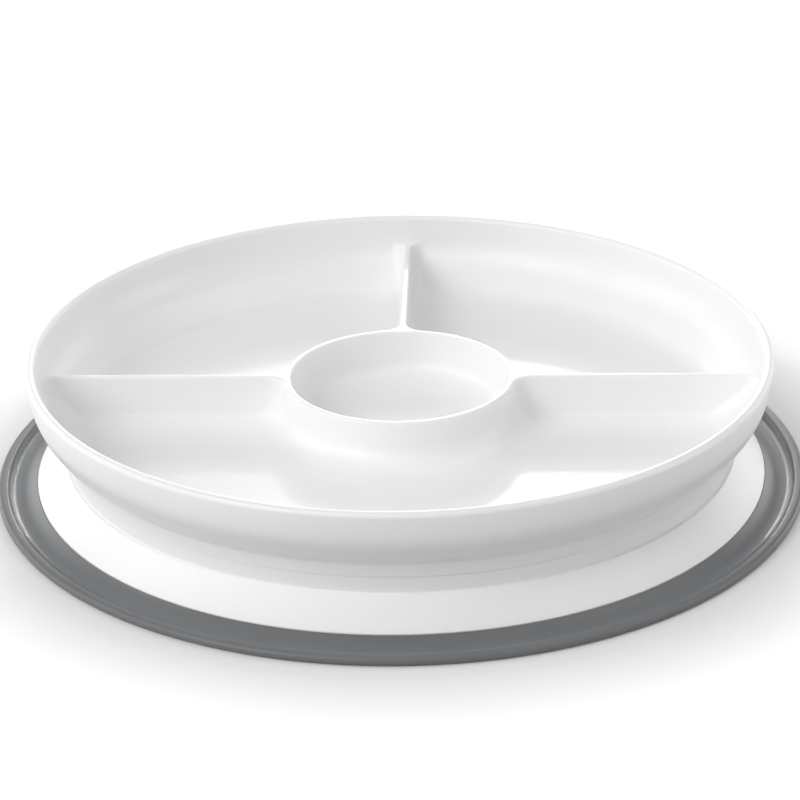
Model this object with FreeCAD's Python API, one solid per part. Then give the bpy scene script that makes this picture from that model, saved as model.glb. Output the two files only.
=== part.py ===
import FreeCAD, Part
import math
import os

# A toddler's divided plate that holds itself to the table: a round white dish with
# three compartments round a centre cup, a flared white skirt under it, and a soft
# grey suction ring round the skirt's foot.
# Millimetres. +Z is up, the origin is the centre of the foot on the table, and the
# large compartment faces -Y.

# Dish, outside
rim_radius = 103.5        # outer edge of the lip
lip_width = 2.9           # the lip is fully rounded over this width
dish_depth = 20.5         # lip down to the compartment floor
floor_thickness = 1.9
wall_thickness = 2.3      # between the curved faces of the side wall
bowl_inset = 17.1         # from the lip's edge in to the centre of the wall's curve
bowl_rise = 16.4          # from the floor up to the centre of the wall's curve
bowl_radius = 16.5        # outside of the curved wall
wall_lean = 8.0           # slope from upright where the curve starts, in degrees
outer_slope = 58.0        # slope from upright where the outside curve ends
inner_slope = 50.0        # the same for the inside curve
neck_round = 1.5          # hollow between the curve and the upright neck below it
neck_edge_round = 0.5     # lower edge of the neck

# Dish, inside
web_rise = 12.2           # dividers and cup above the floor
web_width = 2.0           # a divider at its top
web_draft = 2.0           # lean of the dividers' faces, in degrees
web_foot_round = 1.6      # where the dividers and the wall meet the floor
web_wall_round = 4.0      # in plan, where a divider meets the side wall
web_cup_round = 6.0       # in plan, where a divider meets the cup
cup_radius = 30.2         # mouth of the cup, inside
cup_wall = 1.9            # at its mouth
cup_outer_draft = 5.0     # in degrees
cup_inner_draft = 6.0     # in degrees
cup_foot_round = 5.0      # inside corner of the cup's floor
cup_mouth_round = 0.6

# Spigot, a ring under the dish that centres it in the skirt
spigot_wall = 1.8
spigot_depth = 2.6
spigot_gap = 0.2          # all round, between it and the skirt's collar

# Skirt
collar_step = 1.3         # the collar stands back this far under the dish's edge
collar_height = 5.1
collar_wall = 2.2
crease_round = 2.0        # hollow where the collar turns into the flare
skirt_run = 8.0           # the flare, outwards
skirt_drop = 7.1          # the flare, downwards
skirt_wall = 2.2
tongue_depth = 1.8        # the skirt's edge that the suction ring grips
skirt_edge_height = 3.4   # top of the suction ring against the flare

# Suction ring
ring_run = 11.2           # from the skirt's edge out to the outside of the lip
ring_lip_height = 2.6
valley_inset = 4.3        # from the outside of the lip in to the hollow before it
valley_height = 1.0
valley_round = 2.0
seal_width = 5.5          # flat band that lies on the table
chamber_rise = 0.5        # underside of the ring, inside that band
grip_wall = 1.4           # silicone inside the tongue
grip_gap = 0.1            # between that silicone and the inside of the flare

# Levels and radii worked out from those
collar_foot = skirt_edge_height + skirt_drop
dish_foot = collar_foot + collar_height
floor_height = dish_foot + floor_thickness
rim_height = floor_height + dish_depth
web_height = floor_height + web_rise
bowl_inner_radius = bowl_radius - wall_thickness
bowl_middle = rim_radius - bowl_inset
bowl_level = floor_height + bowl_rise
web_slope = math.degrees(math.asin((bowl_level - web_height) / bowl_inner_radius))
neck_radius = bowl_middle + bowl_radius * math.cos(math.radians(outer_slope))
collar_radius = neck_radius - collar_step
collar_inner = collar_radius - collar_wall
skirt_radius = collar_radius + skirt_run
tongue_inner = skirt_radius - skirt_wall
tongue_foot = skirt_edge_height - tongue_depth
flare_slope = math.atan2(skirt_drop, skirt_run)
ring_radius = skirt_radius + ring_run


def at(radius, height):
    return FreeCAD.Vector(radius, 0, height)


def line(start, end):
    return Part.LineSegment(start, end).toShape()


def polyline(points):
    return [line(a, b) for a, b in zip(points, points[1:])]


def loop(points):
    return polyline(points + points[:1])


def on_wall(radius, slope):
    """point of the side wall's curve where its face leans slope degrees from upright"""
    turn = math.radians(slope)
    return at(bowl_middle + radius * math.cos(turn), bowl_level - radius * math.sin(turn))


def wall_curve(radius, start, end):
    points = [on_wall(radius, slope) for slope in (start, (start + end) / 2, end)]
    return Part.Arc(*points).toShape()


def quarter(start, end, centre):
    """quarter of a rounded lip"""
    out = ((start + end) / 2 - centre).normalize()
    return Part.Arc(start, centre + out * start.distanceToPoint(centre), end).toShape()


def turned(edges):
    """the solid that a closed section makes round the plate's axis"""
    section = Part.Face(Part.Wire(Part.__sortEdges__(edges)))
    return section.revolve(FreeCAD.Vector(0, 0, 0), FreeCAD.Vector(0, 0, 1), 360)


def middle_radius(edge):
    point = edge.valueAt((edge.FirstParameter + edge.LastParameter) / 2)
    return math.hypot(point.x, point.y)


def rise(edge):
    return edge.BoundBox.ZMax - edge.BoundBox.ZMin


def edges_at(shape, height, radius=None):
    """level edges of a shape at one height, and at one radius if that is given"""
    near = 0.001
    found = []
    for edge in shape.Edges:
        level = rise(edge) < near and abs(edge.BoundBox.ZMin - height) < near
        if level and (radius is None or abs(middle_radius(edge) - radius) < near):
            found.append(edge)
    return found


def dish_blank():
    """the dish with its side wall, lip and neck, filled up to the dividers' height"""
    lip_round = lip_width / 2
    lip_level = rim_height - lip_round
    lip_middle = at(rim_radius - lip_round, lip_level)
    lip_top = at(rim_radius - lip_round, rim_height)
    lip_outside = at(rim_radius, lip_level)
    lip_inside = at(rim_radius - lip_width, lip_level)
    neck_top = on_wall(bowl_radius, outer_slope)
    web_edge = on_wall(bowl_inner_radius, web_slope)
    edges = [
        wall_curve(bowl_radius, outer_slope, wall_lean),
        line(on_wall(bowl_radius, wall_lean), lip_outside),
        quarter(lip_outside, lip_top, lip_middle),
        quarter(lip_top, lip_inside, lip_middle),
        line(lip_inside, on_wall(bowl_inner_radius, wall_lean)),
        wall_curve(bowl_inner_radius, wall_lean, web_slope),
    ]
    edges += polyline([
        web_edge,
        at(0, web_height),
        at(0, dish_foot),
        at(neck_radius, dish_foot),
        neck_top,
    ])
    blank = turned(edges)
    blank = blank.makeFillet(neck_round, edges_at(blank, neck_top.z, neck_radius))
    return blank.makeFillet(neck_edge_round, edges_at(blank, dish_foot, neck_radius))


def bowl_space():
    """the room inside the side wall, from the floor up to the dividers' height"""
    top = on_wall(bowl_inner_radius, web_slope)
    bend = on_wall(bowl_inner_radius, inner_slope)
    run = (bend.z - floor_height) * math.tan(math.radians(inner_slope))
    foot = at(bend.x - run, floor_height)
    edges = polyline([bend, foot, at(0, floor_height), at(0, web_height), top])
    return turned([wall_curve(bowl_inner_radius, web_slope, inner_slope)] + edges)


def divider(angle):
    """one divider from the cup's middle out past the side wall"""
    half_top = web_width / 2
    half_foot = half_top + web_rise * math.tan(math.radians(web_draft))
    corners = [
        FreeCAD.Vector(0, half_top, web_height),
        FreeCAD.Vector(0, half_foot, floor_height),
        FreeCAD.Vector(0, -half_foot, floor_height),
        FreeCAD.Vector(0, -half_top, web_height),
    ]
    slab = Part.Face(Part.Wire(loop(corners))).extrude(FreeCAD.Vector(rim_radius, 0, 0))
    slab.rotate(FreeCAD.Vector(0, 0, 0), FreeCAD.Vector(0, 0, 1), angle)
    return slab


def cone(top_radius, foot_radius):
    """a cone on the plate's axis, from the floor up to the dividers' height"""
    return turned(loop([
        at(0, floor_height),
        at(foot_radius, floor_height),
        at(top_radius, web_height),
        at(0, web_height),
    ]))


def cup_outside():
    top = cup_radius + cup_wall
    return cone(top, top + web_rise * math.tan(math.radians(cup_outer_draft)))


def cup_space():
    foot = cup_radius - web_rise * math.tan(math.radians(cup_inner_draft))
    space = cone(cup_radius, foot)
    return space.makeFillet(cup_foot_round, edges_at(space, floor_height, foot))


def compartment_spaces():
    """the three compartments, with their corners and floor edges rounded"""
    room = bowl_space().cut(cup_outside())
    for angle in (0, 90, 180):
        room = room.cut(divider(angle))
    spaces = []
    for solid in room.Solids:
        at_cup = [edge for edge in solid.Edges
                  if rise(edge) > web_rise / 2 and middle_radius(edge) < rim_radius / 2]
        solid = solid.makeFillet(web_cup_round, at_cup)
        at_wall = [edge for edge in solid.Edges
                   if rise(edge) > web_foot_round and middle_radius(edge) > rim_radius / 2]
        solid = solid.makeFillet(web_wall_round, at_wall)
        spaces.append(solid.makeFillet(web_foot_round, edges_at(solid, floor_height)))
    return spaces


def spigot():
    outside = collar_inner - spigot_gap
    inside = outside - spigot_wall
    rooted = dish_foot + floor_thickness / 2
    low = dish_foot - spigot_depth
    return turned(loop([at(inside, rooted), at(inside, low), at(outside, low), at(outside, rooted)]))


def divided_plate():
    """dish, dividers, cup and spigot, moulded in one piece"""
    plate = dish_blank()
    for space in compartment_spaces():
        plate = plate.cut(space)
    plate = plate.cut(cup_space())
    plate = plate.makeFillet(cup_mouth_round, edges_at(plate, web_height, cup_radius))
    return plate.fuse(spigot()).removeSplitter()


def flare_inside(radius):
    """height of the flare's inner face, one wall under its outer face"""
    outside = skirt_edge_height + (skirt_radius - radius) * math.tan(flare_slope)
    return outside - skirt_wall / math.cos(flare_slope)


def base_skirt():
    """collar and flare in one moulding, ending in a tongue for the suction ring"""
    skirt = turned(loop([
        at(collar_inner, dish_foot),
        at(collar_radius, dish_foot),
        at(collar_radius, collar_foot),
        at(skirt_radius, skirt_edge_height),
        at(skirt_radius, tongue_foot),
        at(tongue_inner, tongue_foot),
        at(tongue_inner, flare_inside(tongue_inner)),
        at(collar_inner, flare_inside(collar_inner)),
    ]))
    return skirt.makeFillet(crease_round, edges_at(skirt, collar_foot, collar_radius))


def suction_ring():
    """soft ring: a groove round the skirt's tongue, a thin web and a raised lip"""
    lip_round = ring_lip_height / 2
    lip_middle = at(ring_radius - lip_round, lip_round)
    lip_top = at(ring_radius - lip_round, ring_lip_height)
    lip_outside = at(ring_radius, lip_round)
    lip_foot = at(ring_radius - lip_round, 0)
    valley_radius = ring_radius - valley_inset
    grip_inner = tongue_inner - grip_wall
    grip_top = flare_inside(tongue_inner) - grip_gap
    seal_inner = lip_foot.x - seal_width
    edges = polyline([
        lip_foot,
        at(seal_inner, 0),
        at(seal_inner - chamber_rise, chamber_rise),
        at(grip_inner, chamber_rise),
        at(grip_inner, grip_top),
        at(tongue_inner, grip_top),
        at(tongue_inner, tongue_foot),
        at(skirt_radius, tongue_foot),
        at(skirt_radius, skirt_edge_height),
        at(valley_radius, valley_height),
        lip_top,
    ])
    edges += [quarter(lip_top, lip_outside, lip_middle), quarter(lip_outside, lip_foot, lip_middle)]
    ring = turned(edges)
    return ring.makeFillet(valley_round, edges_at(ring, valley_height, valley_radius))


nodes = {
    "divided_plate": divided_plate,
    "base_skirt": base_skirt,
    "suction_ring": suction_ring,
}

os.makedirs("parts", exist_ok=True)
for name, build in nodes.items():
    shape = build()
    shape.exportStep("parts/" + name + ".step")
    print(name, "valid", shape.isValid(), "solids", len(shape.Solids), "mm3", round(shape.Volume))
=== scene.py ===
import math

import bmesh
import bpy
import numpy as np
from mathutils import Matrix, Vector


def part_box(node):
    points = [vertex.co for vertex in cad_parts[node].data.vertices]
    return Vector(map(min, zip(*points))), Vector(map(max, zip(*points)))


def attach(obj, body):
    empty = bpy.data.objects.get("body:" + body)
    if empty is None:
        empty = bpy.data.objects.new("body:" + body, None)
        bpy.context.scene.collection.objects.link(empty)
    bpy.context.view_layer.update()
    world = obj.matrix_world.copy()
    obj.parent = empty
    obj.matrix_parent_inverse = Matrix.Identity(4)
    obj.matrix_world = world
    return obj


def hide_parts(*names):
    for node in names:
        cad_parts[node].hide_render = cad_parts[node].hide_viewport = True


# A toddler's divided plate on a suction foot: a white polypropylene dish and skirt
# and a soft grey silicone ring, on a white table in soft studio light.

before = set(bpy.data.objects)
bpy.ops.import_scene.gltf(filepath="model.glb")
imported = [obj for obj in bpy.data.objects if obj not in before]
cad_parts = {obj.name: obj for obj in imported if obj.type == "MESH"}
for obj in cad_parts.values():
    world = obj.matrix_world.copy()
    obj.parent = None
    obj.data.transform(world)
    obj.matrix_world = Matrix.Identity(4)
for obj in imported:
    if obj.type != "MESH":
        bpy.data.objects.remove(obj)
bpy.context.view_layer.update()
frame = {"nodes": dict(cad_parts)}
print("frame loaded:", ", ".join(frame["nodes"]))

mm = 0.001  # sizes below are in millimetres, and meshes are in metres


def hexColor(code):
    # sRGB hex to linear, with full alpha
    parts = [int(code[i:i + 2], 16) / 255 for i in (1, 3, 5)]
    return [p / 12.92 if p <= 0.04045 else ((p + 0.055) / 1.055) ** 2.4 for p in parts] + [1]


def addNode(tree, kind, inputs=None, **settings):
    # inputs holds values, or sockets of other nodes to link
    node = tree.nodes.new(kind)
    for name, value in settings.items():
        setattr(node, name, value)
    for name, value in (inputs or {}).items():
        if isinstance(value, bpy.types.NodeSocket):
            tree.links.new(value, node.inputs[name])
        else:
            node.inputs[name].default_value = value
    return node


def newMaterial(name):
    material = bpy.data.materials.new(name)
    material.use_nodes = True
    material.node_tree.nodes.clear()
    return material, material.node_tree


# Materials

def mouldedSurface(tree, finish):
    # slow drift of the colour over the moulding, and a fine grain
    place = addNode(tree, "ShaderNodeTexCoord").outputs["Object"]
    drift = addNode(tree, "ShaderNodeTexNoise", {
        "Vector": place,
        "Scale": 1 / (finish["driftSize"] * mm),
        "Detail": finish["driftDetail"],
    })
    tint = addNode(tree, "ShaderNodeMix", {
        "Factor": drift.outputs["Fac"],
        "A": hexColor(finish["color"]),
        "B": hexColor(finish["shadeColor"]),
    }, data_type="RGBA")
    grain = addNode(tree, "ShaderNodeTexNoise", {
        "Vector": place,
        "Scale": 1 / (finish["grainSize"] * mm),
        "Detail": finish["grainDetail"],
    })
    bump = addNode(tree, "ShaderNodeBump", {
        "Height": grain.outputs["Fac"],
        "Strength": 1.0,
        "Distance": finish["grainHeight"] * mm,
    })
    return drift.outputs["Fac"], tint.outputs["Result"], bump.outputs["Normal"]


polypropylene = {
    "color": "#F4F4F3",
    "shadeColor": "#F1F1F1",
    "driftSize": 45.0,
    "driftDetail": 2.0,
    "roughness": 0.34,         # satin gloss off a polished mould
    "roughnessDrift": 0.05,
    "ior": 1.49,
    "scatter": 0.10,           # light goes a little way into the thin walls
    "scatterReach": 2.0,
    "grainSize": 0.9,          # coarser than the real mould texture, which is finer than a pixel
    "grainDetail": 1.0,
    "grainHeight": 0.004,
}


def whitePolypropylene():
    material, tree = newMaterial("WhitePolypropylene")
    drift, tint, normal = mouldedSurface(tree, polypropylene)
    gloss = addNode(tree, "ShaderNodeMapRange", {
        "Value": drift,
        "To Min": polypropylene["roughness"] - polypropylene["roughnessDrift"],
        "To Max": polypropylene["roughness"] + polypropylene["roughnessDrift"],
    })
    shader = addNode(tree, "ShaderNodeBsdfPrincipled", {
        "Base Color": tint,
        "Roughness": gloss.outputs["Result"],
        "IOR": polypropylene["ior"],
        "Subsurface Weight": polypropylene["scatter"],
        "Subsurface Scale": polypropylene["scatterReach"] * mm,
        "Subsurface Radius": (1, 1, 1),
        "Normal": normal,
    })
    addNode(tree, "ShaderNodeOutputMaterial", {"Surface": shader.outputs["BSDF"]})
    return material


silicone = {
    "color": "#747678",
    "shadeColor": "#6C6E70",
    "driftSize": 30.0,
    "driftDetail": 3.0,
    "roughness": 0.34,         # slightly greasy sheen of moulded silicone
    "ior": 1.41,
    "grainSize": 0.7,          # drawn as coarse as the plastic's has to be
    "grainDetail": 2.0,
    "grainHeight": 0.010,
}


def greySilicone():
    material, tree = newMaterial("GreySilicone")
    drift, tint, normal = mouldedSurface(tree, silicone)
    shader = addNode(tree, "ShaderNodeBsdfPrincipled", {
        "Base Color": tint,
        "Roughness": silicone["roughness"],
        "IOR": silicone["ior"],
        "Normal": normal,
    })
    addNode(tree, "ShaderNodeOutputMaterial", {"Surface": shader.outputs["BSDF"]})
    return material


whitePlastic = whitePolypropylene()
greyRubber = greySilicone()
print("materials made")


# Sections of the turned pieces, as (radius, height) points

def arc(centreRadius, centreHeight, radius, startTurn, endTurn, steps):
    # turns in degrees from straight out, anticlockwise with height upwards
    return [(centreRadius + radius * math.cos(t), centreHeight + radius * math.sin(t))
            for t in np.radians(np.linspace(startTurn, endTurn, steps + 1))]


def quarterTurn(steps):
    return [math.radians(90 * k / steps) for k in range(steps + 1)]


def roundedSection(corners, closed=True, stepTurn=9.0):
    # corners are (radius, height, rounding); each rounding becomes an arc
    points = []
    count = len(corners)
    for i, (x, z, rounding) in enumerate(corners):
        atEnd = not closed and i in (0, count - 1)
        if rounding == 0 or atEnd:
            points.append((x, z))
            continue
        here = np.array([x, z])
        before = np.array(corners[i - 1][:2]) - here
        after = np.array(corners[(i + 1) % count][:2]) - here
        before /= np.linalg.norm(before)
        after /= np.linalg.norm(after)
        half = math.acos(np.clip(before @ after, -1, 1)) / 2
        middle = before + after
        centre = here + middle / np.linalg.norm(middle) * rounding / math.sin(half)
        start = here + before * rounding / math.tan(half) - centre
        end = here + after * rounding / math.tan(half) - centre
        turn = math.pi - 2 * half
        steps = max(2, math.ceil(math.degrees(turn) / stepTurn))
        for k in range(steps + 1):
            a, b = math.sin(turn * (1 - k / steps)), math.sin(turn * k / steps)
            points.append(tuple(centre + (start * a + end * b) / math.sin(turn)))
    return points


# Divided plate: each compartment's outline, level above level, and turned surfaces round them

dish = {
    "rimRadius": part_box("divided_plate")[1].x / mm,
    "rimHeight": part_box("divided_plate")[1].z / mm,
    "spigotFoot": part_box("divided_plate")[0].z / mm,
    "seatHeight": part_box("base_skirt")[1].z / mm,     # underside of the neck, on the skirt's collar
    "depth": 20.5,
    "lipWidth": 2.9,
    "wallThickness": 2.3,
    "bowlInset": 17.1,         # from the lip's edge in to the centre of the wall's curve
    "bowlRise": 16.4,          # from the floor up to it
    "bowlRadius": 16.5,
    "wallLean": 8.0,           # degrees from upright, under the lip
    "outerSlope": 58.0,
    "innerSlope": 50.0,
    "neckRound": 1.5,
    "neckLean": 0.8,           # inwards at its foot
    "edgeRound": 0.3,
    "wallFootRound": 8.0,      # soft sweep from the floor into the wall
    "dividerRise": 12.2,
    "dividerWidth": 2.0,
    "dividerDraft": 2.0,
    "dividerFootRound": 1.5,
    "dividerTopRound": 0.6,    # also at the cup's mouth
    "dividerEndRound": 4.0,    # in plan, at the side wall
    "dividerCupRound": 6.0,    # in plan, at the cup
    "cupRoundLoss": 0.75,      # it tightens by this share of the cup's foot's spread
    "endFillet": 0.8,          # where the top of a divider meets the side wall
    "endFilletShare": 0.6,     # of the top's corner, where that leaves less room
    "cupRadius": 30.2,
    "cupWall": 1.9,
    "cupDraft": 5.0,
    "cupInnerDraft": 6.0,
    "cupFootRound": 6.0,       # outside
    "cupFloorRound": 5.0,      # inside
    "spigotOutside": 91.444,
    "spigotWall": 1.8,
    "spigotRound": 0.3,
    "underInset": 2.0,         # from the spigot in to the one flat face of the underside
    "dividers": (0, 90, 180),  # degrees from +X

    # how finely it is drawn: numbers of steps, and turns in degrees
    "footLevels": 22,
    "firstLevel": 0.0125,      # the foot's levels rise by its multiples by squares
    "bodyLevels": 9,
    "climbLevels": 6,
    "roundSteps": 6,
    "lipSteps": 20,
    "bowlSteps": 26,
    "cornerSteps": 12,
    "faceSteps": 8,
    "wallStepTurn": 1.5,
    "cupStepTurn": 3.0,
}

floorHeight = dish["rimHeight"] - dish["depth"]
topHeight = floorHeight + dish["dividerRise"]
bowlMiddle = dish["rimRadius"] - dish["bowlInset"]
bowlLevel = floorHeight + dish["bowlRise"]
bowlInside = dish["bowlRadius"] - dish["wallThickness"]
lipRound = dish["lipWidth"] / 2
lipLevel = dish["rimHeight"] - lipRound


def onBowl(radius, slope):
    turn = math.radians(slope)
    return bowlMiddle + radius * math.cos(turn), bowlLevel - radius * math.sin(turn)


def footSpread(above, rounding):
    # how far a hollow rounding stands out from an upright face at each height above its floor
    reach = np.clip(rounding - above, 0, rounding)
    return rounding - np.sqrt(rounding ** 2 - reach ** 2)


def wallInside(height):
    # radius of the side wall's inner face
    bendRadius, bendHeight = onBowl(bowlInside, dish["innerSlope"])
    leanRadius, leanHeight = onBowl(bowlInside, dish["wallLean"])
    slope = math.radians(dish["innerSlope"])
    footRadius = bendRadius - (bendHeight - floorHeight) * math.tan(slope)
    rounding = dish["wallFootRound"]
    rise = math.pi / 2 - slope
    roundMiddle = footRadius - rounding * math.tan(rise / 2)
    roundTop = floorHeight + rounding * (1 - math.cos(rise))
    if height < roundTop:
        reach = rounding - (height - floorHeight)
        return roundMiddle + math.sqrt(max(0, rounding ** 2 - reach ** 2))
    if height < bendHeight:
        return footRadius + (height - floorHeight) * math.tan(slope)
    if height < leanHeight:
        return bowlMiddle + math.sqrt(bowlInside ** 2 - (bowlLevel - height) ** 2)
    share = (height - leanHeight) / (lipLevel - leanHeight)
    return leanRadius + share * (dish["rimRadius"] - dish["lipWidth"] - leanRadius)


def levels():
    # close together at the foot and over the rounded tops, where the faces curve
    rise, rounding = dish["dividerRise"], dish["dividerTopRound"]
    foot = [dish["firstLevel"] * k ** 2 for k in range(dish["footLevels"] + 1)]
    body = list(np.linspace(foot[-1], rise - rounding, dish["bodyLevels"] + 1)[1:])
    top = [rise - rounding * (1 - math.sin(t)) for t in quarterTurn(dish["roundSteps"])[1:]]
    return np.array(foot + body + top)


def topDraw(above):
    # how far the rounded top edge draws in
    rounding = dish["dividerTopRound"]
    reach = np.clip(above - (dish["dividerRise"] - rounding), 0, rounding)
    return rounding - np.sqrt(rounding ** 2 - reach ** 2)


def halfWidth(above):
    taper = (dish["dividerRise"] - above) * math.tan(math.radians(dish["dividerDraft"]))
    return (dish["dividerWidth"] / 2 + taper
            + footSpread(above, dish["dividerFootRound"]) - topDraw(above))


def cupOutside(above):
    taper = (dish["dividerRise"] - above) * math.tan(math.radians(dish["cupDraft"]))
    return (dish["cupRadius"] + dish["cupWall"] + taper
            + footSpread(above, dish["cupFootRound"]) - topDraw(above))


def fromTurn(radius, turn):
    return np.stack([radius * np.cos(turn), radius * np.sin(turn)], axis=1)


def compartmentOutline(start, end, above):
    # plan of one compartment at one level, in named stretches, anticlockwise from the side wall
    wall, cup, half = wallInside(floorHeight + above), cupOutside(above), halfWidth(above)
    a, b = math.radians(start), math.radians(end)
    endRound = dish["dividerEndRound"]
    cupRound = (dish["dividerCupRound"]
                - dish["cupRoundLoss"] * footSpread(above, dish["cupFootRound"]))
    wallReach = math.sqrt((wall - endRound) ** 2 - (half + endRound) ** 2)
    cupReach = math.sqrt((cup + cupRound) ** 2 - (half + cupRound) ** 2)
    wallTurn = math.atan2(half + endRound, wallReach)
    cupTurn = math.atan2(half + cupRound, cupReach)
    wallSteps = round((end - start) / dish["wallStepTurn"])
    cupSteps = round((end - start) / dish["cupStepTurn"])

    def corner(turn, reach, side, rounding, first, last):
        # arc of a rounded corner; side is 1 on the anticlockwise side of a divider
        offset = side * (half + rounding)
        middle = np.array([reach * math.cos(turn) - offset * math.sin(turn),
                           reach * math.sin(turn) + offset * math.cos(turn)])
        return middle + fromTurn(rounding, np.linspace(first, last, dish["cornerSteps"] + 1))

    def face(turn, first, last, side):
        reach = np.linspace(first, last, dish["faceSteps"] + 1)
        return np.stack([reach * math.cos(turn) - side * half * math.sin(turn),
                         reach * math.sin(turn) + side * half * math.cos(turn)], axis=1)

    quarter = math.pi / 2
    return {
        "wall": fromTurn(wall, np.linspace(a + wallTurn, b - wallTurn, wallSteps + 1)),
        "wallEnd": corner(b, wallReach, -1, endRound, b - wallTurn, b + quarter),
        "faceEnd": face(b, wallReach, cupReach, -1),
        "cupEnd": corner(b, cupReach, -1, cupRound, b + quarter, b + 2 * quarter - cupTurn),
        "cup": fromTurn(cup, np.linspace(b - cupTurn, a + cupTurn, cupSteps + 1)),
        "cupStart": corner(a, cupReach, 1, cupRound, a + cupTurn + 2 * quarter, a + 3 * quarter),
        "faceStart": face(a, cupReach, wallReach, 1),
        "wallStart": corner(a, wallReach, 1, endRound, a - quarter, a + wallTurn),
    }


def raised(plan, height):
    height = np.broadcast_to(np.asarray(height, float), len(plan))
    return np.column_stack([plan, height])


def turns(points):
    return np.unwrap(np.arctan2(points[:, 1], points[:, 0]))


def spin(section, angles):
    # rows of a closed ring of points, one row for each point of the section
    return [raised(fromTurn(radius, angles), height) for radius, height in section]


meshing = {
    "merge": 0.0005,           # mm; points closer than this are one
    "sliver": 0.0002,
    "sharpTurn": 32,           # degrees; a sharper bend than this shows as an edge
}


def placedPiece(name, mesh):
    mesh.polygons.foreach_set("use_smooth", [True] * len(mesh.polygons))
    mesh.set_sharp_from_angle(angle=math.radians(meshing["sharpTurn"]))
    piece = bpy.data.objects.new(name, mesh)
    bpy.context.scene.collection.objects.link(piece)
    return piece


def buildMesh(name, sheets, caps, material):
    # sheets are (rows of points, closed); caps are flat loops of points
    made = bmesh.new()
    for rows, closed in sheets:
        grid = [[made.verts.new(point * mm) for point in row] for row in rows]
        for low, high in zip(grid, grid[1:]):
            count = len(low)
            for i in range(count if closed else count - 1):
                j = (i + 1) % count
                made.faces.new((low[i], low[j], high[j], high[i]))
    for loop in caps:
        made.faces.new([made.verts.new(point * mm) for point in loop])
    bmesh.ops.remove_doubles(made, verts=made.verts, dist=meshing["merge"] * mm)
    bmesh.ops.dissolve_degenerate(made, edges=made.edges, dist=meshing["sliver"] * mm)
    bmesh.ops.triangulate(made, faces=[f for f in made.faces if len(f.verts) > 4])
    bmesh.ops.recalc_face_normals(made, faces=made.faces)
    openEdges = sum(1 for e in made.edges if not e.is_manifold)
    mesh = bpy.data.meshes.new(name)
    made.to_mesh(mesh)
    made.free()
    mesh.materials.append(material)
    triangles = sum(len(p.vertices) - 2 for p in mesh.polygons)
    print(name, "triangles", triangles, "open edges", openEdges)
    return placedPiece(name, mesh)


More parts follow.
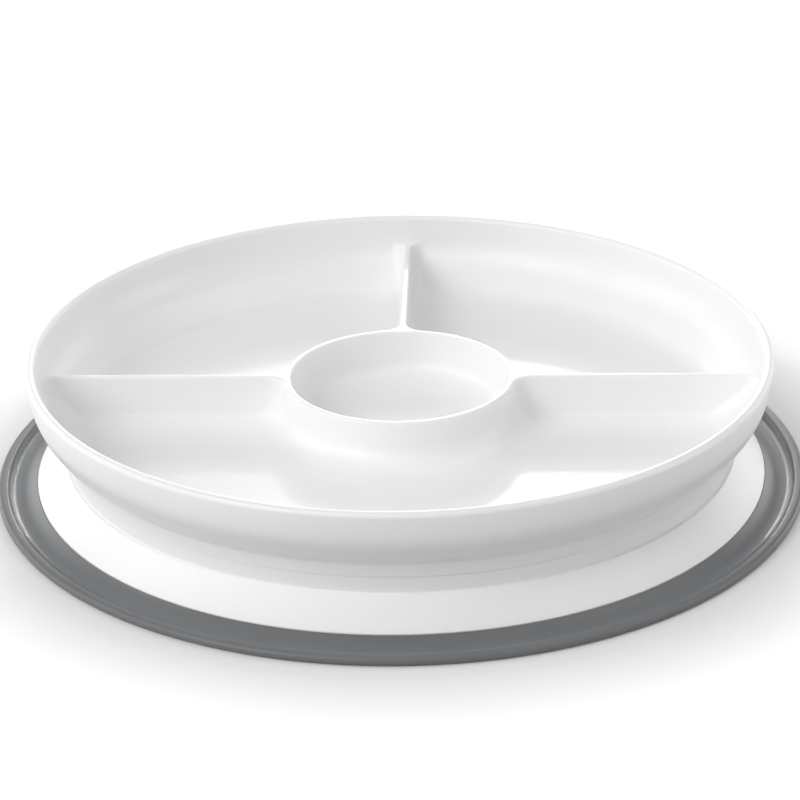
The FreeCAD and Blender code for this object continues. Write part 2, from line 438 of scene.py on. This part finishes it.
def dividedPlate():
    sheets, caps, tops = [], [], []
    starts = list(dish["dividers"])
    for start, end in zip(starts, starts[1:] + [starts[0] + 360]):
        rows = []
        for above in levels():
            outline = compartmentOutline(start, end, above)
            rows.append(raised(np.concatenate(list(outline.values())), floorHeight + above))
        sheets.append((rows, True))
        caps.append(rows[0])
        tops.append(outline)

    # flat tops of the dividers and the cup, out to the side wall
    mouthRound = dish["dividerTopRound"]
    mouth = dish["cupRadius"] + mouthRound
    wallTop = wallInside(topHeight)
    fillet = dish["endFillet"]

    def flatTop(outer, inner):
        sheets.append(([raised(outer, topHeight), raised(inner, topHeight)], False))

    def filletFor(points):
        gap = wallTop - np.hypot(points[:, 0], points[:, 1])
        return np.clip(np.minimum(fillet, dish["endFilletShare"] * gap), 0, fillet)

    cupAngles, wallAngles, wallFillets = [], [], []
    for top, following in zip(tops, tops[1:] + tops[:1]):
        for part in ("cupEnd", "cup", "cupStart"):
            flatTop(top[part], fromTurn(mouth, turns(top[part])))
        flatTop(top["faceEnd"], following["faceStart"][::-1])
        gapEnd = np.stack([top["faceEnd"][-1], following["faceStart"][0]])
        flatTop(gapEnd, fromTurn(mouth, turns(gapEnd)))
        for part in ("wallEnd", "wallStart"):
            flatTop(top[part], fromTurn(wallTop - filletFor(top[part]), turns(top[part])))
        gapWall = np.stack([top["faceEnd"][0], following["faceStart"][-1]])
        flatTop(gapWall, fromTurn(wallTop - filletFor(gapWall), turns(gapWall)))

        ordered = np.concatenate([top["wallStart"], top["wall"], top["wallEnd"]])
        wallAngles.append(turns(ordered))
        wallFillets.append(filletFor(ordered))
        ordered = np.concatenate([top[part][::-1] for part in ("cupStart", "cup", "cupEnd")])
        cupAngles.append(turns(ordered))

    wallAngles, wallFillets = np.concatenate(wallAngles), np.concatenate(wallFillets)
    cupAngles = np.concatenate(cupAngles)

    # side wall above the dividers, with a fillet over each divider's end
    rows = []
    leanHeight = onBowl(bowlInside, dish["wallLean"])[1]
    overFillet = [topHeight + fillet * (1 - math.cos(t)) for t in quarterTurn(dish["roundSteps"])]
    climb = list(np.linspace(topHeight + fillet, leanHeight, dish["climbLevels"] + 1)[1:])
    for height in overFillet + climb + [lipLevel]:
        up = height - topHeight
        reach = np.clip(wallFillets - up, 0, None)
        stand = np.where(up < wallFillets,
                         wallFillets - np.sqrt(np.maximum(wallFillets ** 2 - reach ** 2, 0)), 0)
        rows.append(raised(fromTurn(wallInside(height) - stand, wallAngles), height))
    sheets.append((rows, True))

    # lip, outer wall, neck, underside and spigot
    lipMiddle = dish["rimRadius"] - lipRound
    neckRadius = onBowl(dish["bowlRadius"], dish["outerSlope"])[0]
    hollow = dish["neckRound"]
    hollowMiddle = neckRadius + hollow
    hollowReach = dish["bowlRadius"] + hollow
    hollowLevel = bowlLevel - math.sqrt(hollowReach ** 2 - (hollowMiddle - bowlMiddle) ** 2)
    hollowTurn = math.degrees(math.atan2(bowlLevel - hollowLevel, hollowMiddle - bowlMiddle))
    spigotInside = dish["spigotOutside"] - dish["spigotWall"]
    section = arc(lipMiddle, lipLevel, lipRound, 180, 0, dish["lipSteps"])
    section += arc(bowlMiddle, bowlLevel, dish["bowlRadius"],
                   -dish["wallLean"], -hollowTurn, dish["bowlSteps"])
    section += arc(hollowMiddle, hollowLevel, hollow,
                   180 - hollowTurn, 180, dish["roundSteps"])[1:]
    section += roundedSection([
        (neckRadius, hollowLevel, 0),
        (neckRadius - dish["neckLean"], dish["seatHeight"], dish["edgeRound"]),
        (dish["spigotOutside"], dish["seatHeight"], 0),
        (dish["spigotOutside"], dish["spigotFoot"], dish["spigotRound"]),
        (spigotInside, dish["spigotFoot"], dish["spigotRound"]),
        (spigotInside, dish["seatHeight"], dish["spigotRound"]),
        (spigotInside - dish["underInset"], dish["seatHeight"], 0),
    ], closed=False)[1:]
    rows = spin(section, wallAngles)
    sheets.append((rows, True))
    caps.append(rows[-1])

    # inside of the cup
    mouthFoot = topHeight - mouthRound
    drop = math.tan(math.radians(dish["cupInnerDraft"]))
    cupFoot = dish["cupRadius"] - dish["dividerRise"] * drop
    section = arc(mouth, mouthFoot, mouthRound, 90, 180, dish["roundSteps"])
    section += roundedSection([
        (dish["cupRadius"], mouthFoot, 0),
        (cupFoot, floorHeight, dish["cupFloorRound"]),
        (cupFoot / 2, floorHeight, 0),  # the rest of the floor is one flat face
    ], closed=False)[1:]
    rows = spin(section, cupAngles)
    sheets.append((rows, True))
    caps.append(rows[-1])
    return buildMesh("divided_plate_white", sheets, caps, whitePlastic)


plate = dividedPlate()
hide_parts("divided_plate")
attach(plate, "root")
print("plate made")


# Skirt and suction ring: a drawn section swept round the plate's axis

def sweepTree():
    tree = bpy.data.node_groups.new("SweepRoundAxis", "GeometryNodeTree")
    for name, kind in (("Section", "NodeSocketGeometry"), ("Path Radius", "NodeSocketFloat"),
                       ("Steps Round", "NodeSocketInt"), ("Finish", "NodeSocketMaterial")):
        tree.interface.new_socket(name, in_out="INPUT", socket_type=kind)
    tree.interface.new_socket("Geometry", in_out="OUTPUT", socket_type="NodeSocketGeometry")
    given = addNode(tree, "NodeGroupInput").outputs
    path = addNode(tree, "GeometryNodeCurvePrimitiveCircle", {
        "Radius": given["Path Radius"], "Resolution": given["Steps Round"],
    })
    swept = addNode(tree, "GeometryNodeCurveToMesh", {
        "Curve": path.outputs["Curve"], "Profile Curve": given["Section"],
    })
    whole = addNode(tree, "GeometryNodeRealizeInstances", {"Geometry": swept.outputs["Mesh"]})
    finished = addNode(tree, "GeometryNodeSetMaterial", {
        "Geometry": whole.outputs["Geometry"], "Material": given["Finish"],
    })
    addNode(tree, "NodeGroupOutput", {"Geometry": finished.outputs["Geometry"]})
    return tree


sweep = sweepTree()


def sweptPiece(name, section, pathRadius, stepsRound, material):
    curve = bpy.data.curves.new(name, "CURVE")
    curve.dimensions = "2D"
    spline = curve.splines.new("POLY")
    spline.points.add(len(section) - 1)
    for point, (radius, height) in zip(spline.points, section):
        point.co = ((radius - pathRadius) * mm, -height * mm, 0, 1)  # the sweep turns +Y downwards
    spline.use_cyclic_u = True
    drawn = bpy.data.objects.new(name, curve)
    bpy.context.scene.collection.objects.link(drawn)
    modifier = drawn.modifiers.new("Sweep", "NODES")
    modifier.node_group = sweep
    values = {"Path Radius": pathRadius * mm, "Steps Round": stepsRound, "Finish": material}
    for socket in sweep.interface.items_tree:
        if socket.in_out == "INPUT" and socket.name in values:
            modifier[socket.identifier] = values[socket.name]
    bpy.context.view_layer.update()
    seen = bpy.context.evaluated_depsgraph_get()
    mesh = bpy.data.meshes.new_from_object(drawn.evaluated_get(seen), depsgraph=seen)
    bpy.data.objects.remove(drawn)
    bpy.data.curves.remove(curve)
    mesh.name = name
    made = bmesh.new()
    made.from_mesh(mesh)
    bmesh.ops.remove_doubles(made, verts=made.verts, dist=meshing["merge"] * mm)
    bmesh.ops.recalc_face_normals(made, faces=made.faces)
    made.to_mesh(mesh)
    made.free()
    print(name, "quads", len(mesh.polygons))
    return placedPiece(name, mesh)


skirt = {
    "footRadius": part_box("base_skirt")[1].x / mm,
    "seatHeight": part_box("base_skirt")[1].z / mm,
    "tongueFoot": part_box("base_skirt")[0].z / mm,
    "run": 8.0,                # the flare, outwards
    "drop": 7.1,               # the flare, downwards
    "wall": 2.2,
    "edgeHeight": 3.4,         # top of the suction ring against the flare
    "collarTopRun": 0.3,       # the collar's face leans: out at its top, under the dish's edge
    "recess": 1.4,             # and in at its foot, behind the flare's upper edge
    "grooveDepth": 0.5,
    "grooveRound": 0.2,
    "brimInset": 0.2,          # the brim is the flare's upper edge
    "brimRise": 0.1,
    "brimRound": 0.4,
    "edgeRound": 0.3,
    "innerRound": 1.0,
    "stepsRound": 288,
}

collarRadius = skirt["footRadius"] - skirt["run"]
collarInside = collarRadius - skirt["wall"]
brimHeight = skirt["edgeHeight"] + skirt["drop"]
tongueInside = skirt["footRadius"] - skirt["wall"]
flare = math.atan2(skirt["drop"], skirt["run"])


def flareInside(radius):
    outside = skirt["edgeHeight"] + (skirt["footRadius"] - radius) * math.tan(flare)
    return outside - skirt["wall"] / math.cos(flare)


skirtSection = roundedSection([
    (collarInside, skirt["seatHeight"], skirt["edgeRound"]),
    (collarRadius + skirt["collarTopRun"], skirt["seatHeight"], skirt["edgeRound"]),
    (collarRadius - skirt["recess"], brimHeight - skirt["grooveDepth"], skirt["grooveRound"]),
    (collarRadius - skirt["brimInset"], brimHeight + skirt["brimRise"], skirt["brimRound"]),
    (skirt["footRadius"], skirt["edgeHeight"], 0),
    (skirt["footRadius"], skirt["tongueFoot"], 0),
    (tongueInside, skirt["tongueFoot"], 0),
    (tongueInside, flareInside(tongueInside), 0),
    (collarInside, flareInside(collarInside), skirt["innerRound"]),
])
skirtPiece = sweptPiece("base_skirt_white", skirtSection, collarRadius,
                        skirt["stepsRound"], whitePlastic)
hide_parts("base_skirt")
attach(skirtPiece, "root")
print("skirt made")


ring = {
    "radius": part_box("suction_ring")[1].x / mm,
    "footRound": 1.28,         # at the outer edge, on the table
    "troughHeight": 1.1,
    "troughSlope": 39.0,       # degrees, going on from the skirt's flare
    "troughRound": 9.0,
    "lipHeight": 2.6,
    "lipFoot": 3.6,            # from the edge in to the foot of the raised lip
    "lipSlope": 62.0,          # of its inner face
    "lipSweep": 2.5,           # from the trough into that face
    "lipInnerRound": 0.6,
    "crestInset": 1.3,         # from the edge in to the lip's crest
    "crestRound": 0.8,
    "crestFall": 0.35,         # from the crest out to the edge
    "edgeRound": 0.9,
    "sealWidth": 5.5,
    "sealRound": 0.2,
    "chamberRise": 0.5,
    "gripWall": 1.4,           # inside the skirt's tongue
    "gripGap": 0.1,            # under the flare
    "gripRound": 0.3,
    "joinRound": 0.2,          # at the flare's foot
    "stepsRound": 288,
}

troughDrop = skirt["edgeHeight"] - ring["troughHeight"]
troughRadius = skirt["footRadius"] + troughDrop / math.tan(math.radians(ring["troughSlope"]))
lipFoot = ring["radius"] - ring["lipFoot"]
lipRun = (ring["lipHeight"] - ring["troughHeight"]) / math.tan(math.radians(ring["lipSlope"]))
gripInside = tongueInside - ring["gripWall"]
gripTop = flareInside(tongueInside) - ring["gripGap"]
sealInside = ring["radius"] - ring["crestInset"] - ring["sealWidth"]
ringSection = roundedSection([
    (ring["radius"], 0, ring["footRound"]),
    (sealInside, 0, ring["sealRound"]),
    (sealInside - ring["chamberRise"], ring["chamberRise"], ring["sealRound"]),
    (gripInside, ring["chamberRise"], ring["gripRound"]),
    (gripInside, gripTop, ring["gripRound"]),
    (tongueInside, gripTop, 0),
    (tongueInside, skirt["tongueFoot"], 0),
    (skirt["footRadius"], skirt["tongueFoot"], 0),
    (skirt["footRadius"], skirt["edgeHeight"], ring["joinRound"]),
    (troughRadius, ring["troughHeight"], ring["troughRound"]),
    (lipFoot, ring["troughHeight"], ring["lipSweep"]),
    (lipFoot + lipRun, ring["lipHeight"], ring["lipInnerRound"]),
    (ring["radius"] - ring["crestInset"], ring["lipHeight"], ring["crestRound"]),
    (ring["radius"], ring["lipHeight"] - ring["crestFall"], ring["edgeRound"]),
])
ringPiece = sweptPiece("suction_ring_grey", ringSection, skirt["footRadius"],
                       ring["stepsRound"], greyRubber)
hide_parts("suction_ring")
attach(ringPiece, "root")
print("ring made")


# Table

table = {
    "size": 6.0,               # metres
    "color": "#EFEFEF",
    "paintedGlow": 0.27,              # painted light: the table glows away from the plate and not near it, which paints a shadow round the plate's foot
    "paintedGlowStart": 118.0,        # mm from the middle; inside this the table has no glow, a painted shadow
    "paintedGlowFull": 143.0,
}


def whiteTable():
    material, tree = newMaterial("WhiteTable")
    place = addNode(tree, "ShaderNodeTexCoord").outputs["Object"]
    reach = addNode(tree, "ShaderNodeVectorMath", {"Vector": place}, operation="LENGTH")
    # painted light and painted shadow: the glow grows with distance from the plate, so the table is
    # darker round its foot
    paintedGlow = addNode(tree, "ShaderNodeMapRange", {
        "Value": reach.outputs["Value"],
        "From Min": table["paintedGlowStart"] * mm,
        "From Max": table["paintedGlowFull"] * mm,
        "To Min": 0.0,
        "To Max": table["paintedGlow"],
    })
    paintedGlowLight = addNode(tree, "ShaderNodeEmission", {"Strength": paintedGlow.outputs["Result"]})
    matt = addNode(tree, "ShaderNodeBsdfDiffuse", {"Color": hexColor(table["color"])})
    both = addNode(tree, "ShaderNodeAddShader")
    tree.links.new(matt.outputs["BSDF"], both.inputs[0])
    tree.links.new(paintedGlowLight.outputs["Emission"], both.inputs[1])
    addNode(tree, "ShaderNodeOutputMaterial", {"Surface": both.outputs["Shader"]})
    return material


bpy.ops.mesh.primitive_plane_add(size=table["size"], location=(0, 0, 0))
floor = bpy.context.object
floor.name = "table"
floor.data.materials.append(whiteTable())
floor.visible_diffuse = False  # the room's light from below stands in for the table's bounce


# Light: a bright room, broad soft boxes round the plate and a small low light from behind

room = {
    "above": 0.27,
    "horizon": 1.2,            # light off the table, from far out
    "below": 0.25,             # from close by, where the plate shades the table
    "belowDepth": 0.6,
}

lightDistance = 3.0            # metres

lights = {
    # turn in degrees from straight behind the plate towards +X, and elevation; size in metres
    "key": {"turn": 225, "elevation": 36, "size": 1.83, "watts": 34.0},
    "front": {"turn": 180, "elevation": 50, "size": 1.83, "watts": 14.0},
    "left": {"turn": 270, "elevation": 35, "size": 1.83, "watts": 14.0},
    "leftLow": {"turn": 275, "elevation": 10, "size": 1.83, "watts": 12.0},
    "right": {"turn": 90, "elevation": 10, "size": 1.83, "watts": 16.0},
    "top": {"turn": 70, "elevation": 60, "size": 1.83, "watts": 10.0},
    "backdropLeft": {"turn": 318, "elevation": 12, "size": 1.83, "watts": 17.0},
    "backdrop": {"turn": 0, "elevation": 10, "size": 1.83, "watts": 24.0},
    "backdropRight": {"turn": 42, "elevation": 11, "size": 1.83, "watts": 19.0},
    "back": {"turn": 0, "elevation": 18.9, "size": 0.09, "watts": 7.0},
}


def areaLight(name, turn, elevation, size, watts):
    data = bpy.data.lights.new(name, "AREA")
    data.shape = "DISK"
    data.size = size
    data.energy = watts
    lamp = bpy.data.objects.new(name, data)
    side, up = math.radians(turn), math.radians(elevation)
    away = Vector((math.sin(side) * math.cos(up), math.cos(side) * math.cos(up), math.sin(up)))
    lamp.location = away * lightDistance
    lamp.rotation_euler = (-away).to_track_quat("-Z", "Y").to_euler()
    bpy.context.scene.collection.objects.link(lamp)


def brightRoom():
    world = bpy.data.worlds.new("BrightRoom")
    world.use_nodes = True
    tree = world.node_tree
    tree.nodes.clear()
    direction = addNode(tree, "ShaderNodeTexCoord").outputs["Generated"]
    rise = addNode(tree, "ShaderNodeSeparateXYZ", {"Vector": direction}).outputs["Z"]
    under = addNode(tree, "ShaderNodeMapRange", {
        "Value": rise,
        "From Min": -room["belowDepth"],
        "From Max": 0.0,
        "To Min": room["below"],
        "To Max": room["horizon"],
    })
    aboveTable = addNode(tree, "ShaderNodeMath", operation="GREATER_THAN")
    aboveTable.inputs[1].default_value = 0.0
    tree.links.new(rise, aboveTable.inputs[0])
    strength = addNode(tree, "ShaderNodeMix", {
        "Factor": aboveTable.outputs["Value"], "A": under.outputs["Result"], "B": room["above"],
    }, data_type="FLOAT")
    sky = addNode(tree, "ShaderNodeBackground", {
        "Color": (1, 1, 1, 1), "Strength": strength.outputs["Result"],
    })
    addNode(tree, "ShaderNodeOutputWorld", {"Surface": sky.outputs["Background"]})
    return world


bpy.context.scene.world = brightRoom()
for name, values in lights.items():
    areaLight(name, **values)
print("table and lights set")


# Camera, as the photograph was taken

camera = {
    "lens": 141.23,
    "sensor": 36.0,
    "distance": 877.1,         # mm from the point it looks at
    "aimHeight": 22.02,
    "elevation": 24.433,
    "turn": 1.9,               # degrees towards +X
    "roll": 0.97,
    "near": 0.05,              # metres
    "far": 20.0,
}

data = bpy.data.cameras.new("photoCamera")
data.lens = camera["lens"]
data.sensor_width = camera["sensor"]
data.clip_start, data.clip_end = camera["near"], camera["far"]
photoCamera = bpy.data.objects.new("photoCamera", data)
up, side = math.radians(camera["elevation"]), math.radians(camera["turn"])
back = Vector((math.cos(up) * math.sin(side), -math.cos(up) * math.cos(side), math.sin(up)))
photoCamera.location = Vector((0, 0, camera["aimHeight"] * mm)) + back * camera["distance"] * mm
aim = (-back).to_track_quat("-Z", "Y").to_matrix()
roll = Matrix.Rotation(-math.radians(camera["roll"]), 3, "Z")
photoCamera.rotation_euler = (aim @ roll).to_euler()
bpy.context.scene.collection.objects.link(photoCamera)
bpy.context.scene.camera = photoCamera
bpy.context.scene.view_settings.view_transform = "Standard"
print("camera set")
